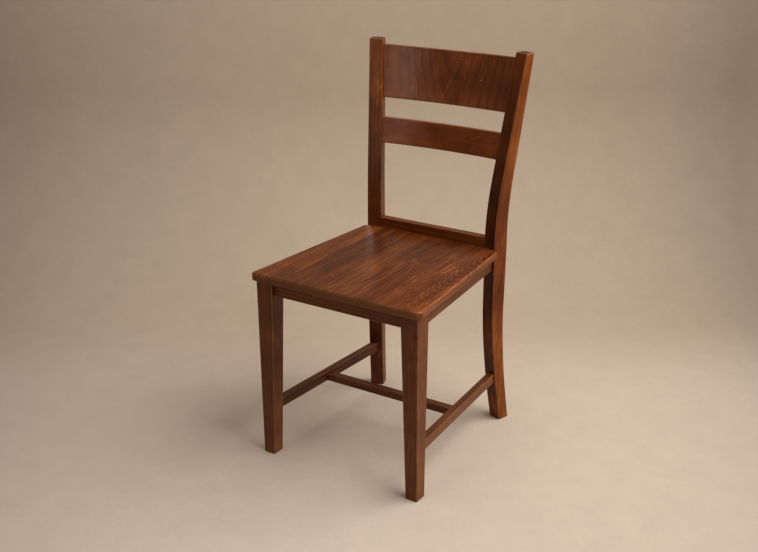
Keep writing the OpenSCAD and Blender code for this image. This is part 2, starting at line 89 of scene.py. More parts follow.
def closed(name, points, quads, caps, wear_and_highlight, sharp=math.radians(38)):
    """A mesh of quads and flat caps, turned outward: if its signed volume is negative, the sum of
    p0 . (p1 x p2) over its triangles, every face is reversed. The mask of wear and painted
    highlight goes with each point, and edges that turn by more than sharp stay sharp."""
    fans = [np.stack([np.full(len(c) - 2, c[0]), c[1:-1], c[2:]], 1) for c in caps]
    tris = np.concatenate([quads[:, [0, 1, 2]], quads[:, [0, 2, 3]]] + fans)
    p = points[tris]
    volume = np.einsum("ij,ij->", p[:, 0], np.cross(p[:, 1], p[:, 2]))
    step = 1 if volume > 0 else -1
    mesh = bpy.data.meshes.new(name)
    mesh.from_pydata(points, [], [f[::step] for f in quads.tolist() + [c.tolist() for c in caps]])
    rubbed_and_highlight = mesh.attributes.new("arris", "FLOAT", "POINT").data
    rubbed_and_highlight.foreach_set("value", wear_and_highlight.astype(np.float32))
    mesh.shade_smooth()
    mesh.set_sharp_from_angle(angle=sharp)
    piece = bpy.data.objects.new(name, mesh)
    bpy.context.scene.collection.objects.link(piece)
    return piece


def loft(name, ring, wear_and_highlight, end_wear_and_highlight):
    """A tube through the rings (stations x points x 3) with both ends capped. The mask of wear and
    painted highlight at a point is the larger of its place in the section and its place along the
    member, and 0 on the ends."""
    m, n = ring.shape[:2]
    i, j = np.meshgrid(np.arange(m - 1), np.arange(n), indexing="ij")
    k = (j + 1) % n
    quads = np.stack([i * n + j, i * n + k, (i + 1) * n + k, (i + 1) * n + j], -1).reshape(-1, 4)
    caps = [np.arange(n)[::-1], (m - 1) * n + np.arange(n)]
    both = np.maximum(wear_and_highlight[None], end_wear_and_highlight[:, None])
    both[[0, -1]] = 0
    return closed(name, ring.reshape(-1, 3), quads, caps, both.ravel())


def end_wear_and_highlight(inset, ease):
    """1 in the middle of a rounded end's quarter circle, 0 on the body and on the flat end: the
    end's share of the mask of wear and painted highlight.
    """
    return np.sin(np.pi * inset / ease)


class Value:
    """A shader socket that ordinary operators work on: numbers through Math nodes, and vectors
    through Vector Math nodes."""

    def __init__(self, finish, socket):
        self.finish, self.socket = finish, socket

    def _do(self, operation, a, b):
        if self.socket.type in ("VECTOR", "RGBA"):
            a, b = [(x,) * 3 if isinstance(x, (int, float)) else x for x in (a, b)]
            return self.finish.node("ShaderNodeVectorMath", {"operation": operation}, {0: a, 1: b})
        return self.finish.node("ShaderNodeMath", {"operation": operation}, {0: a, 1: b})

    def __add__(self, other): return self._do("ADD", self, other)
    def __radd__(self, other): return self._do("ADD", other, self)
    def __sub__(self, other): return self._do("SUBTRACT", self, other)
    def __rsub__(self, other): return self._do("SUBTRACT", other, self)
    def __mul__(self, other): return self._do("MULTIPLY", self, other)
    def __rmul__(self, other): return self._do("MULTIPLY", other, self)
    def __truediv__(self, other): return self._do("DIVIDE", self, other)
    def __pow__(self, other): return self._do("POWER", self, other)
    def __neg__(self): return self._do("MULTIPLY", self, -1.0)


class Finish:
    """A material with one shader. node() makes any node: its settings first, then its sockets."""

    def __init__(self, name, **constants):
        self.material = bpy.data.materials.new(name)
        self.material.use_nodes = True
        self.tree = self.material.node_tree
        self.tree.nodes.clear()
        self.out = self.tree.nodes.new("ShaderNodeOutputMaterial")
        self.shader = self.node("ShaderNodeBsdfPrincipled", {}, constants).socket.node
        self.tree.links.new(self.shader.outputs[0], self.out.inputs[0])

    def node(self, kind, settings=None, sockets=None, output=0):
        made = self.tree.nodes.new(kind)
        for key, value in (settings or {}).items():
            if key == "stops":
                ramp = made.color_ramp
                while len(ramp.elements) < len(value):
                    ramp.elements.new(0.5)
                for element, (place, colour) in zip(ramp.elements, value):
                    element.position, element.color = place, (*colour, 1)
            else:
                setattr(made, key, value)
        for key, value in (sockets or {}).items():
            socket = made.inputs[key]
            if isinstance(value, Value):
                self.tree.links.new(value.socket, socket)
            else:
                socket.default_value = value
        return Value(self, made.outputs[output])

    def feed(self, **values):
        """Link values to the shader's sockets, whose names have _ for a space."""
        for key, value in values.items():
            self.tree.links.new(value.socket, self.shader.inputs[key.replace("_", " ")])

    def place(self):
        return self.node("ShaderNodeTexCoord", {}, {}, "Object")

    def geometry(self, output):
        return self.node("ShaderNodeNewGeometry", {}, {}, output)

    def math(self, operation, *values):
        return self.node("ShaderNodeMath", {"operation": operation}, dict(enumerate(values)))

    def dot(self, vector, axis):
        return self.node("ShaderNodeVectorMath", {"operation": "DOT_PRODUCT"},
                         {0: vector, 1: tuple(axis)}, "Value")

    def length(self, vector):
        return self.node("ShaderNodeVectorMath", {"operation": "LENGTH"}, {0: vector}, "Value")

    def join(self, x, y, z):
        return self.node("ShaderNodeCombineXYZ", {}, {0: x, 1: y, 2: z})

    def noise(self, vector, detail=2.0, rough=0.5, scale=1.0, output=0):
        return self.node("ShaderNodeTexNoise", {}, {"Vector": vector, "Scale": scale,
                                                    "Detail": detail, "Roughness": rough}, output)

    def span(self, value, low, high):
        """A smooth step from 0 at low to 1 at high."""
        return self.node("ShaderNodeMapRange", {"interpolation_type": "SMOOTHSTEP"},
                         {0: value, 1: low, 2: high})

    def mix(self, factor, a, b, blend="MIX"):
        return self.node("ShaderNodeMix", {"data_type": "RGBA", "blend_type": blend},
                         {0: factor, 6: a, 7: b}, 2)

    def bump(self, height, strength, distance):
        return self.node("ShaderNodeBump", {},
                         {"Strength": strength, "Distance": distance, "Height": height})


def tone(code):
    """A colour written as rrggbb, as linear light."""
    c = np.array([int(code[k:k + 2], 16) for k in (0, 2, 4)]) / 255
    return tuple(np.where(c <= 0.04045, c / 12.92, ((c + 0.055) / 1.055) ** 2.4))


def stained_wood(name, along, across, seed, tones, heart, slant=0.0, ring_gap=0.009, ring=0.15,
                 band=0.6, cloud=0.5, fibre=0.35, curl=0.0, vein=0.25, wear_and_highlight=0.5, gloss=0.38,
                 coat=0.1, sway=0.03, pore=0.4, ends=0.6, end_tone=None,
                 shade=(0, 0, 0), marks=(), knot=None):
    """Stained hardwood under satin lacquer, in the member's own directions: a across the face, b
    into the board, c along the grain, all measured from a point of the tree's heart. Curly grain
    shifts a by a sine wave of c, in patches. Growth rings are circles about a heart that slants by
    b = slant c, bent by slow noise, each ending in a thin dark line. Bands, fibres and pores are
    noise drawn out along the grain; the stain's clouds are not. Pale veins run where a drawn-out
    noise passes its middle value, and end grain drinks stain until one tone is left. Arrises are
    lighter, partly from rubbing and partly as a painted highlight. Faces are lighter the more they
    face along the vector shade, a painted light and shade set by how each face turns to the lamps.
    Marks are pale spots drawn out along a line and bent by noise, and a knot is a dark ring."""
    f = Finish(name, **{"Coat Roughness": 0.2, "IOR": 1.45, "Specular IOR Level": 0.16})
    along, across = [np.array(v) / np.linalg.norm(v) for v in (along, across)]
    p = f.place() - tuple(heart)
    a, b, c = f.dot(p, across), f.dot(p, np.cross(along, across)), f.dot(p, along)
    drift = tuple(seed * np.array([7.31, 3.17, 5.73]))

    def drawn_out(wide, long):
        """The place in turns of a pattern, wide per metre across the grain and long along it."""
        return f.join(a * wide, b * wide, c * long) + drift

    figure = 0.0
    if curl:
        ripples_per_metre, ripple_shift = 720.0, 0.0002
        where = drawn_out(14, 6)
        figure = f.math("SINE", c * ripples_per_metre + f.noise(where, 1.0) * 22.0)
        figure = figure * f.span(f.noise(where, 1.0), 0.5, 0.66) * curl
        a = a + figure * ripple_shift

    slow_bend = (f.noise(drawn_out(6, 3), 1.0) - 0.5) * sway
    quick_bend = (f.noise(drawn_out(30, 9), 1.0) - 0.5) * 0.005
    far = f.math("SQRT", (a + (slow_bend + quick_bend)) ** 2.0 + (b + c * slant) ** 2.0)
    turn = f.math("FRACT", far / ring_gap + f.noise(drawn_out(20, 3), 1.0) * 1.5)
    late = f.span(turn, 0.3, 0.86) * f.span(turn, 1.0, 0.9)
    late = late * f.span(f.noise(drawn_out(11, 3)), 0.3, 0.6)
    bands = f.noise(drawn_out(34, 2.2), 3.0, 0.66) - 0.5
    fibres = f.noise(drawn_out(190, 7), 4.0, 0.68) - 0.5
    pores = f.span(f.noise(drawn_out(240, 26), 2.0), 0.6, 0.72)
    clouds = f.noise(p * 8.0 + drift, 4.0, 0.6) - 0.5
    apart = (9.0, 4.0, 2.0)
    from_middle = f.math("ABSOLUTE", f.noise(drawn_out(32, 3.2) + apart, 2.0) - 0.5)
    veins = f.span(from_middle, 0.01, 0.0) * f.span(clouds, -0.05, 0.1)
    t = 0.5 + bands * band + fibres * fibre - (late - 0.3) * ring + clouds * cloud + veins * vein
    normal = f.geometry("Normal")
    # Painted light and shade: faces turned along shade are lighter, those turned away darker.
    t = t + figure * 0.1 + f.dot(normal, shade)
    if knot:
        middle, radius = knot
        knot_place = p - tuple(np.array(middle) - heart)
        from_ring = f.math("ABSOLUTE", f.length(knot_place / (radius, radius, radius * 1.3)) - 1.0)
        t = t - f.span(from_ring, 0.45, 0.0) * 0.35

    dark, mid, light = [tone(code) for code in tones]
    stops = [(0.18, dark), (0.5, mid), (0.85, light)]
    colour = f.node("ShaderNodeValToRGB", {"stops": stops}, {0: t})
    colour = f.mix(pores * pore, colour, (*np.array(dark) * 0.5, 1))
    end_grain = f.span(f.math("ABSOLUTE", f.dot(normal, along)), 0.55, 0.95)
    soaked = tone(end_tone) if end_tone else np.array(dark) * 0.8
    colour = f.mix(end_grain * ends, colour, (*soaked, 1))
    # Arrises are lightened in colour: partly rubbed wear, partly a painted highlight.
    rubbed_and_highlight = f.node("ShaderNodeAttribute", {"attribute_name": "arris"}, {}, "Fac")
    patchy = f.span(f.noise(p * 26.0 + drift, 4.0, 0.7), 0.35, 0.7)
    colour = f.mix(rubbed_and_highlight * (0.25 + patchy * 0.75) * wear_and_highlight, colour, (*np.array(light) * 1.4, 1))
    if marks:
        bent = p + (f.noise(p, scale=45.0, output="Color") - 0.5) * 0.003
        marked = 0.0
        for start, end, width, strength in marks:
            start, end = np.array(start), np.array(end)
            run = (end - start) / 2
            q = bent - tuple((start + end) / 2 - heart)
            beside_it = f.length(q) ** 2.0 - f.dot(q, run / np.linalg.norm(run)) ** 2.0
            spot = f.dot(q, run / (run @ run)) ** 2.0 + beside_it / (width / 2) ** 2
            marked = f.math("MAXIMUM", marked, f.span(spot, 1.0, 0.2) * strength)
        colour = f.mix(marked, colour, (*np.array(light) * 1.5, 1))
    f.feed(Base_Color=colour, Coat_Weight=coat + rubbed_and_highlight * 0.8)
    f.feed(Roughness=gloss + fibres * 0.12 + clouds * 0.12 + pores * 0.1)
    height = fibres * 0.5 + bands * 0.5 - pores * 0.8 - late * 0.25
    f.feed(Normal=f.bump(height, strength=0.2, distance=0.00025))
    return f.material


def fit(piece, node, material):
    """Give a new piece its wood and let it stand in for its CAD node."""
    piece.data.materials.append(material)
    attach(piece, "root")
    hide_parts(node)


leg_tones = ("41200c", "653519", "89532c")
leg_knot = ((0.2037, front_y, 0.393), 0.0035)
for side, s in sides.items():
    z, inset = stations(0, under_seat, foot_ease, high_end=False)
    taper = np.clip(z / apron_low, 0, 1)
    w = leg_w[0] + (leg_w[1] - leg_w[0]) * taper
    d = leg_d[0] + (leg_d[1] - leg_d[0]) * taper
    ring, wear_and_highlight = section(w - 2 * inset, d - 2 * inset, arris)
    centre = np.stack([s * (leg_x - w / 2), front_y + d / 2, z], 1)
    ring = centre[:, None] + np.concatenate([ring, 0 * ring[..., :1]], 2)
    leg = loft(f"front_leg_{side}.wood", ring, wear_and_highlight, end_wear_and_highlight(inset, foot_ease))
    # Painted light and shade: faces toward +x, where the key lamp stands, are lighter, those toward
    # -x darker.
    fit(leg, f"front_leg_{side}", stained_wood(
        f"front leg {side}", (0, 0, 1), (1, 0, 0), 1.3 + s * 0.4, leg_tones,
        heart=(s * 0.12, front_y + 0.07, 0.1), slant=0.02, ring_gap=0.007, ring=0.1,
        band=0.4, cloud=0.7, shade=(0.07, 0, 0),
        knot=leg_knot if side == "right" else None))

# Back posts. Each is sawn from one plank from foot to top: turned 18.4 degrees to face the sitter,
# swept back at the foot, bent into its lean above the seat and fanned outward as it rises.
# It tapers toward both ends, and its arrises and its top are eased.
post_x = 0.177
post_set = 0.403
post_top = 0.905
cant = math.radians(18.4)
fan = math.radians(7.6)
bend_rise = 0.162
lean = 0.073 / (post_top - seat_top - bend_rise / 2)
foot_rise = 0.3
foot_sweep = 0.032
post_end_ease = 0.0025


def sweep(z):
    """How far a post has moved back at height z: a power of the depth below foot_rise at the
    foot, and a parabola into a straight line above the seat."""
    foot = foot_sweep * (np.clip(foot_rise - z, 0, None) / foot_rise) ** 1.7
    rise = np.clip(z - seat_top, 0, None)
    bent = np.where(rise < bend_rise, rise ** 2 / (2 * bend_rise), rise - bend_rise / 2)
    return foot + lean * bent


def post_size(z, foot, seat, top):
    """A size that runs straight from the foot to the seat and from there to the top."""
    return np.interp(z, [0, seat_top, post_top], [foot, seat, top])


def from_post(x, y, s):
    """Points in a post's own plan, x outward and y back, as points in the frame's plan."""
    return (s * (post_x + x * math.cos(cant) + y * math.sin(cant)),
            front_y + post_set - x * math.sin(cant) + y * math.cos(cant))


def post_out(z):
    """Where a post's outer face is at height z: the sweep, fanned outward."""
    return sweep(z) * math.sin(fan)


def post_front(z):
    """Where its front face is."""
    return sweep(z) * math.cos(fan)


def post_w(z):
    return post_size(z, 0.0345, 0.035, 0.034)


def post_d(z):
    return post_size(z, 0.029, 0.041, 0.025)


post_tones = ("3c1704", "67300d", "96531e")
# Painted light and shade on the posts: faces turned outward and back are lighter, the fronts
# darker.
painted_light_out, painted_light_back = 0.08, 0.13
post_painted_shade = (painted_light_out * math.cos(cant) + painted_light_back * math.sin(cant),
              painted_light_back * math.cos(cant) - painted_light_out * math.sin(cant))
for side, s in sides.items():
    z, inset = stations(0, post_top, post_end_ease, middle=70)
    w, d = post_w(z), post_d(z)
    ring, wear_and_highlight = section(w - 2 * inset, d - 2 * inset, arris)
    x = ring[..., 0] + (post_out(z) - w / 2)[:, None]
    y = ring[..., 1] + (post_front(z) + d / 2)[:, None]
    ring = np.stack([*from_post(x, y, s), np.broadcast_to(z[:, None], x.shape)], -1)
    post = loft(f"back_post_{side}.wood", ring, wear_and_highlight, end_wear_and_highlight(inset, post_end_ease))
    fit(post, f"back_post_{side}", stained_wood(
        f"back post {side}", (0, 0.1, 1), (1, 0, 0), 3.1 + s * 0.7, post_tones,
        heart=(s * 0.25, 0.1, 0.4), slant=0.03, ring_gap=0.008, cloud=0.8, band=0.8,
        vein=0.3, wear_and_highlight=0.6, ends=0.9, shade=(s * post_painted_shade[0], post_painted_shade[1], 0)))

# Side stretchers. A square-edged bar low on each side, shouldered and tenoned into leg and post.
# Stained with the frame, in a darker copy of the legs' tones that paints the shade under the seat.
# Its top arrises are lighter, rubbed where shoes rest and partly a painted highlight.
stretcher_top = 0.130
stretcher_high = 0.024
stretcher_thick = 0.018
stretcher_ease = 0.0016
stretcher_z = stretcher_top - stretcher_high
stretcher_mid_z = stretcher_z + stretcher_high / 2
leg_set_in = 0.008
post_set_in = 0.004
into = 0.004
shaded_stretcher_tones = ("3c1c0b", "5f3118", "82502a")


def bar(name, start, end, thick, low, high, ease, past_start, past_end, steps=30):
    """A straight bar between two plan points, its eased section carried along the line and run on
    a little past each end, into what it is tenoned to."""
    start, end = np.array(start), np.array(end)
    length = np.linalg.norm(end - start)
    u = (end - start) / length
    t = np.linspace(-past_start, length + past_end, steps)
    ring, wear_and_highlight = section(np.full(steps, thick), np.full(steps, high - low), ease)
    plan = start + t[:, None, None] * u + ring[..., :1] * np.array([-u[1], u[0]])
    z = (low + high) / 2 + ring[..., 1:]
    return loft(name, np.concatenate([plan, z], 2), wear_and_highlight, np.zeros(steps))


def line(start, end, thick):
    """The middle line of a bar whose outer face runs from start to end on the right side."""
    u = (np.array(end) - start) / np.linalg.norm(np.array(end) - start)
    inward = np.array([-u[1], u[0]])
    return np.array(start) + inward * thick / 2, np.array(end) + inward * thick / 2


def mirrored(points, s):
    """Plan points of the right side on side s."""
    return [np.array([p[0] * s, p[1]]) for p in points]


stretcher_leg_d = leg_d[0] + (leg_d[1] - leg_d[0]) * stretcher_mid_z / apron_low
low_post = from_post(post_out(stretcher_mid_z) - post_set_in, post_front(stretcher_mid_z), 1)
low_line = line((leg_x - leg_set_in, front_y + stretcher_leg_d), low_post, stretcher_thick)
run = low_line[1] - low_line[0]
for side, s in sides.items():
    piece = bar(f"side_stretcher_{side}.wood", *mirrored(low_line, s), stretcher_thick,
                stretcher_z, stretcher_top, stretcher_ease, into, 2 * into)
    # Painted light and shade: each stretcher's outer face is lighter and its inner face darker.
    fit(piece, f"side_stretcher_{side}", stained_wood(
        f"side stretcher {side}", (s * run[0], run[1], 0), (0, 0, 1), 5.2 + s, shaded_stretcher_tones,
        heart=(s * 0.15, 0, 0.06), slant=0.02, ring_gap=0.006, wear_and_highlight=0.8,
        shade=(s * 0.13, 0, 0)))

# Cross stretcher. A lighter bar that joins the two side stretchers a little behind the middle,
# tenoned into their inner faces and flush with their undersides.
cross_y = front_y + 0.222
cross_thick = 0.020
cross_high = 0.018
thin_arris = 0.0014
cross_t = (cross_y - low_line[0][1]) / (low_line[1][1] - low_line[0][1])
cross_x = (low_line[0] + (low_line[1] - low_line[0]) * cross_t)[0] - stretcher_thick / 2
piece = bar("cross_stretcher.wood", (-cross_x, cross_y), (cross_x, cross_y), cross_thick,
            stretcher_z, stretcher_z + cross_high, thin_arris, into, into)
# Stained in the stretchers' darker tones, a painted shade under the seat.
fit(piece, "cross_stretcher", stained_wood(
    "cross stretcher", (1, 0, 0), (0, 0, 1), 8.4, shaded_stretcher_tones, heart=(0, cross_y - 0.05, 0.07),
    slant=0.02, ring_gap=0.006))

# Aprons. The front one and two side ones stand on edge under the seat, each held by two dowels at
# each end. Their lower arrises show a small easing; the seat covers the upper ones.
apron_thick = 0.020
apron_leg_set_in = 0.0105
apron_post_set_in = 0.007
front_apron_back = 0.021
post_outer = from_post(0, 0, 1)
apron_post = (post_outer[0] - apron_post_set_in * math.cos(cant),
              post_outer[1] + apron_post_set_in * math.sin(cant))
apron_line = line((leg_x - apron_leg_set_in, front_y + leg_d[1]), apron_post, apron_thick)
apron_x, apron_y = leg_x - leg_w[1], front_y + front_apron_back
piece = bar("front_apron.wood", (-apron_x, apron_y), (apron_x, apron_y), apron_thick,
            apron_low, under_seat, thin_arris, into, into)
fit(piece, "front_apron", stained_wood(
    "front apron", (1, 0, 0), (0, 0, 1), 10.5, leg_tones, heart=(0, front_y + 0.06, 0.36),
    slant=0.03, ring_gap=0.007))
run = apron_line[1] - apron_line[0]
for side, s in sides.items():
    piece = bar(f"side_apron_{side}.wood", *mirrored(apron_line, s), apron_thick,
                apron_low, under_seat, thin_arris, into, 2 * into)
    fit(piece, f"side_apron_{side}", stained_wood(
        f"side apron {side}", (s * run[0], run[1], 0), (0, 0, 1), 12.2 + s, leg_tones,
        heart=(s * 0.12, 0, 0.35), slant=0.03, ring_gap=0.007))

# Seat rail. A straight rail between the posts behind the seat, standing 24 mm above it and
# tenoned at both ends. Its front face is flush with the posts' inner arrises.
rail_thick = 0.018
rail_high = 0.077
rail_top = seat_top + 0.024
post_inner = from_post(-post_w(seat_top), 0, 1)
rail_y = post_inner[1]
rail_mid_y = rail_y + rail_thick / 2
piece = bar("seat_rail.wood", (-post_inner[0], rail_mid_y), (post_inner[0], rail_mid_y), rail_thick,
            rail_top - rail_high, rail_top, arris, 2 * into, 2 * into)
fit(piece, "seat_rail", stained_wood(
    "seat rail", (1, 0, 0), (0, 0, 1), 15.1, post_tones, heart=(0, rail_y + 0.08, 0.4),
    slant=0.02, ring_gap=0.008))

# Crest rail and slat. Two boards laminated to a curve of 540 mm radius, leaned with the posts and
# tenoned into them: the wide crest 6 mm behind the posts' fronts, the narrow slat 4 mm behind.
back_r = 0.54
board_thick = 0.016
crest_high, slat_high = 0.127, 0.063
crest_set_back, slat_set_back = 0.006, 0.004
above_crest = 0.012
crest_to_slat = 0.045
tilt_back = math.atan(lean * math.cos(cant + fan))


def on_face(mid_z, set_back, u, v):
    """A place on a board's front face, u millimetres along its arc from the middle and v up it."""
    end_x, end_y = from_post(post_out(mid_z) - post_w(mid_z), post_front(mid_z) + set_back, 1)
    turn, rise = u / 1000 / back_r, v / 1000
    y = back_r * math.cos(turn) - math.sqrt(back_r ** 2 - end_x ** 2)
    c, n = math.cos(tilt_back), math.sin(tilt_back)
    return back_r * math.sin(turn), end_y + y * c + rise * n, mid_z - y * n + rise * c


def strokes(lines, place, width, strength):
    """The marks along chains of points, each piece of a chain overrunning its ends a little."""
    overrun = 0.08
    made = []
    for chain in lines:
        points = [np.array(place(*point)) for point in chain]
        made += [(a - (b - a) * overrun, b + (b - a) * overrun, width, strength)
                 for a, b in zip(points, points[1:])]
    return made


def back_board(name, mid_z, height, thick, set_back, ease, steps=64):
    """An eased section, height by thickness, carried along an arc of the back's radius. The arc is
    turned back about its own chord, which joins the two posts' inner faces."""
    end_x, end_y = from_post(post_out(mid_z) - post_w(mid_z), post_front(mid_z) + set_back, 1)
    sag = back_r - math.sqrt(back_r ** 2 - end_x ** 2)
    tenon = 0.007
    reach = math.asin((end_x + tenon) / back_r)
    turn = np.linspace(-reach, reach, steps)
    ring, wear_and_highlight = section(np.full(steps, thick), np.full(steps, height), ease)
    radius = back_r + thick / 2 + ring[..., 0]
    x = radius * np.sin(turn)[:, None]
    y = radius * np.cos(turn)[:, None] - back_r + sag
    z = ring[..., 1]
    c, n = math.cos(tilt_back), math.sin(tilt_back)
    ring = np.stack([x, end_y + y * c + z * n, mid_z - y * n + z * c], -1)
    return loft(name, ring, wear_and_highlight, np.zeros(steps))


crest_z = post_top - above_crest - crest_high * math.cos(tilt_back) / 2
slat_z = crest_z - (crest_high + slat_high) * math.cos(tilt_back) / 2 - crest_to_slat
crest_tones = ("391608", "6b3212", "975226")
slat_tones = ("441c07", "7b3a10", "a45d22")
up_board = (0, math.sin(tilt_back), math.cos(tilt_back))
crest_veins = [[(-86, 59), (-87, 33), (-83, 5)], [(-89, -10), (-86, -62)],
               [(-40, 58), (-36, 35), (-39, 12)], [(-38, 7), (-42, -10)],
               [(21, 59), (15, 33), (7, 11), (-21, -53)], [(-56, -28), (-54, -56)],
               [(-24, -32), (-22, -60)], [(48, 50), (39, 15), (35, -7)], [(33, -19), (33, -58)],
               [(94, 38), (92, 20), (84, 3)], [(-112, -36), (-122, -61)], [(117, 54), (116, 36)],
               [(102, -32), (103, -62)]]
crest_nicks = [[(-40, 9), (-37, 14)], [(79, -1), (89, 6)], [(12, 36), (14, 39)]]
slat_nicks = [[(-61, -14), (-58, -10)], [(73, 3), (101, 16)]]


def on_crest(u, v):
    return on_face(crest_z, crest_set_back, u, v)


def on_slat(u, v):
    return on_face(slat_z, slat_set_back, u, v)


crest_marks = strokes(crest_veins, on_crest, 0.003, 0.35)
crest_marks += strokes(crest_nicks, on_crest, 0.0026, 1.0)
piece = back_board("crest_rail.wood", crest_z, crest_high, board_thick, crest_set_back, 0.003)
fit(piece, "crest_rail", stained_wood(
    "crest rail", up_board, (1, 0, 0), 17.6, crest_tones, heart=(0.02, 0.3, 0.7), slant=0.3,
    ring_gap=0.02, ring=0.1, cloud=1.0, band=0.27, fibre=0.1, pore=0.15, sway=0.06, vein=0.15,
    curl=0.15, coat=0.3, gloss=0.34, marks=crest_marks))
piece = back_board("back_slat.wood", slat_z, slat_high, board_thick, slat_set_back, 0.0025)
fit(piece, "back_slat", stained_wood(
    "back slat", (1, 0, 0), up_board, 19.3, slat_tones, heart=(0.05, 0.3, 0.68), slant=0.08,
    ring_gap=0.012, ring=0.05, cloud=0.9, band=0.4, vein=0.3, curl=0.15, coat=0.2, gloss=0.34,
    marks=strokes(slat_nicks, on_slat, 0.002, 0.6)))

# Corner blocks and dowels. Bare, planed beech: a block glued and screwed into each corner under the
# seat, and two fluted dowels in every apron joint, which the finished joint hides.


def bare_wood(name, along, across, seed, tones, saw=0.5):
    """Unfinished planed beech: pale, with short dark ray flecks, drawn-out fibres and, where saw is
    not 0, fine sine ripples of the blade across the grain."""
    f = Finish(name, **{"Specular IOR Level": 0.3})
    along, across = np.array(along, float), np.array(across, float)
    p = f.place()
    a, b, c = f.dot(p, across), f.dot(p, np.cross(along, across)), f.dot(p, along)
    drift = tuple(seed * np.array([3.7, 5.1, 2.3]))

    def drawn_out(wide, long):
        """The place in turns of a pattern, wide per metre across the grain and long along it."""
        return f.join(a * wide, b * wide, c * long) + drift

    bands = f.noise(drawn_out(110, 9), 3.0, 0.6)
    fibres = f.noise(drawn_out(800, 40), 2.0, 0.6)
    flecks = f.span(f.noise(drawn_out(1700, 260), 1.0), 0.66, 0.76)
    ripples = f.math("SINE", c * 2600.0 + bands * 5.0)
    light, mid, dark = [tone(code) for code in tones]
    stops = [(0.25, dark), (0.5, mid), (0.8, light)]
    colour = f.node("ShaderNodeValToRGB", {"stops": stops}, {0: bands * 0.75 + fibres * 0.3})
    colour = f.mix(flecks * 0.55, colour, (*tone("7d5126"), 1))
    f.feed(Base_Color=colour, Roughness=0.62 + fibres * 0.2)
    height = fibres * 0.6 - flecks * 0.5 + ripples * 0.12 * saw
    f.feed(Normal=f.bump(height, strength=0.35, distance=0.0003))
    return f.material


def dress(node, material):
    """A CAD node that keeps its own shape takes a finer material."""
    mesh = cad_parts[node].data
    mesh.materials.clear()
    mesh.materials.append(material)


beech = ("dcb888", "c79a63", "a97a45")
diagonal = 0.70711
for k, corner in enumerate(["front_left", "front_right", "back_left", "back_right"]):
    slant = 1 if corner.endswith("left") == corner.startswith("front") else -1
    dress(f"corner_block_{corner}", bare_wood(
        f"corner block {corner}", (diagonal, slant * diagonal, 0), (0, 0, 1), 21.0 + k, beech))
dress("apron_dowels", bare_wood("apron dowels", (1, 0, 0), (0, 0, 1), 27.0, beech, saw=0.0))

# Screws. Zinc-plated steel, turned: four draw the corner blocks to the legs and posts, and four go
# up through the blocks into the seat. Their heads show from below.


def plated_steel(name, seed):
    """Zinc plate: bright grey with a faint mottle, and turning marks: noise that runs 5200 turns a
    metre in height and 60 across."""
    f = Finish(name, Metallic=1.0)
    p = f.place()
    mottle = f.noise(p * 420.0 + (seed,) * 3, 3.0, 0.6)
    marks = f.noise(f.join(f.dot(p, (60, 0, 0)), f.dot(p, (0, 60, 0)), f.dot(p, (0, 0, 5200))), 2.0)
    f.feed(Base_Color=f.mix(mottle, (*tone("8d8c88"), 1), (*tone("c9c7c0"), 1)))
    f.feed(Roughness=0.26 + mottle * 0.2 + marks * 0.08)
    f.feed(Normal=f.bump(marks, strength=0.2, distance=0.0001))
    return f.material


dress("block_screws", plated_steel("block screws", 2.0))
dress("seat_screws", plated_steel("seat screws", 5.0))

# Seat. Five planks glued edge to edge and planed as one board, rounded over along the front and
# the sides, nearly square behind, and screwed from below. It overhangs the legs and aprons.
seat_front = -0.010
seat_r = 0.012
over_r = 0.005
under_r = 0.003
back_edge_r = 0.0008
post_gap = 0.0003
side_angle = math.radians(4.7)
side_out = np.array([math.cos(side_angle), math.sin(side_angle)])
side_run = np.array([-math.sin(side_angle), math.cos(side_angle)])
back_out = np.array([math.sin(cant), math.cos(cant)])
back_run = np.array([math.cos(cant), -math.sin(cant)])
plan_inner = np.array([post_inner[0], post_inner[1] - front_y])
seat_w = 0.442
seat_corner = np.array([seat_w / 2, seat_front])


def crossing(out_a, at_a, out_b, at_b):
    """Where two lines meet, each given by its outward direction and its distance along it."""
    return np.linalg.solve(np.array([out_a, out_b]), np.array([at_a, at_b]))


side_at = side_out @ seat_corner
back_at = back_out @ plan_inner - post_gap
front_c = crossing(np.array([0.0, -1.0]), -seat_front - seat_r, side_out, side_at - seat_r)
back_c = crossing(back_out, back_at - seat_r, side_out, side_at - seat_r)
seat_back = plan_inner[1] - post_gap


def seat_side(y):
    """The half width of the seat at each y: an arc, the slanting side, an arc and the run along
    the post, each as x for a given y."""
    arc_front = front_c[0] + np.sqrt(np.clip(seat_r ** 2 - (y - front_c[1]) ** 2, 0, None))
    slant = (side_at - side_out[1] * y) / side_out[0]
    arc_back = back_c[0] + np.sqrt(np.clip(seat_r ** 2 - (y - back_c[1]) ** 2, 0, None))
    along_post = (back_at - back_out[1] * y) / back_out[0]
    x = np.where(y < front_c[1] + seat_r * side_out[1], arc_front, slant)
    x = np.where(y > back_c[1] + seat_r * side_out[1], arc_back, x)
    return np.where(y > back_c[1] + seat_r * back_out[1], along_post, x)


def edge_distance(x, y):
    """Distance in from the seat's front and sides: to the straight edges, or to a corner's arc
    where the nearest edge is one."""
    p = np.stack([np.abs(x), y], -1)
    d = np.minimum(y - seat_front, side_at - p @ side_out)
    for centre, past_a, past_b in ((front_c, np.array([1.0, 0.0]), -side_run),
                                   (back_c, side_run, back_run)):
        q = p - centre
        inside = (q @ past_a > 0) & (q @ past_b > 0)
        d = np.where(inside, seat_r - np.linalg.norm(q, axis=-1), d)
    return np.clip(d, 0, None)


def round_over(d, r):
    """Drop below the face at distance d from an edge that is rounded over with radius r."""
    return r - np.sqrt(np.clip(r ** 2 - (r - np.clip(d, 0, r)) ** 2, 0, None))


